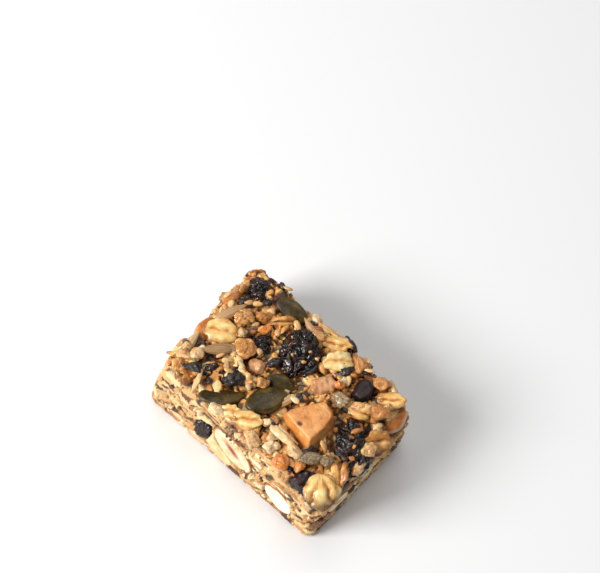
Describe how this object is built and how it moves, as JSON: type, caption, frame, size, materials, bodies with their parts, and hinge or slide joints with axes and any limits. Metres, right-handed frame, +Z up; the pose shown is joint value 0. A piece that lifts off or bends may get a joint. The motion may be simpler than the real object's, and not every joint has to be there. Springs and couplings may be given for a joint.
{
  "type": "muesli square",
  "caption": "Small flat-based square cut from a tray-baked slab of oat flakes, seeds, nuts, raisins, chocolate and dried fruit.",
  "frame": {"origin": "centre of the flat base", "axes": "+X along the long cut side, -Y the long cut side in front, +Z up out of the baked top"},
  "size_m": [0.057, 0.0403, 0.0252],
  "materials": {
    "baked_mix": "baked oats, seeds and crumbs held by a thin amber syrup, satin where the syrup shows",
    "raisin": "dried grape, almost black, deeply wrinkled, moist gloss",
    "roast_nut": "roasted nut, warm tan with browner specks, satin",
    "pale_nut": "pale roasted nut or bean, beige, satin",
    "cut_nut": "nut cut by the knife, cream with a browner rim, matt",
    "pumpkin_seed": "pumpkin kernel, dull olive brown, satin skin",
    "chocolate": "dark chocolate piece, softened edges, low gloss",
    "apricot": "dried fruit piece, amber orange, moist gloss"
  },
  "bodies": {
    "root": {"baked_mix": "baked_mix", "raisin_back": "raisin", "raisin_round": "raisin", "raisin_long": "raisin", "raisin_left": "raisin", "raisin_corner": "raisin", "chocolate_right": "chocolate", "chocolate_front": "chocolate", "nut_chunk_large": "roast_nut", "nut_chunk_beige": "pale_nut", "nut_round": "pale_nut", "pumpkin_seed_edge": "pumpkin_seed", "pumpkin_seed_flat": "pumpkin_seed", "pumpkin_seed_mid": "pumpkin_seed", "pumpkin_seed_back": "pumpkin_seed", "apricot_left": "apricot", "apricot_right": "apricot", "cut_nut_long": "cut_nut", "cut_nut_white": "cut_nut", "raisin_cut_front": "raisin", "cut_nut_back": "cut_nut", "raisin_cut_back": "raisin", "chocolate_cut_back": "chocolate", "pumpkin_seed_cut_back": "pumpkin_seed", "cut_nut_left": "cut_nut", "raisin_cut_left": "raisin", "raisin_cut_right": "raisin", "cut_nut_right": "cut_nut"}
  },
  "joints": []
}
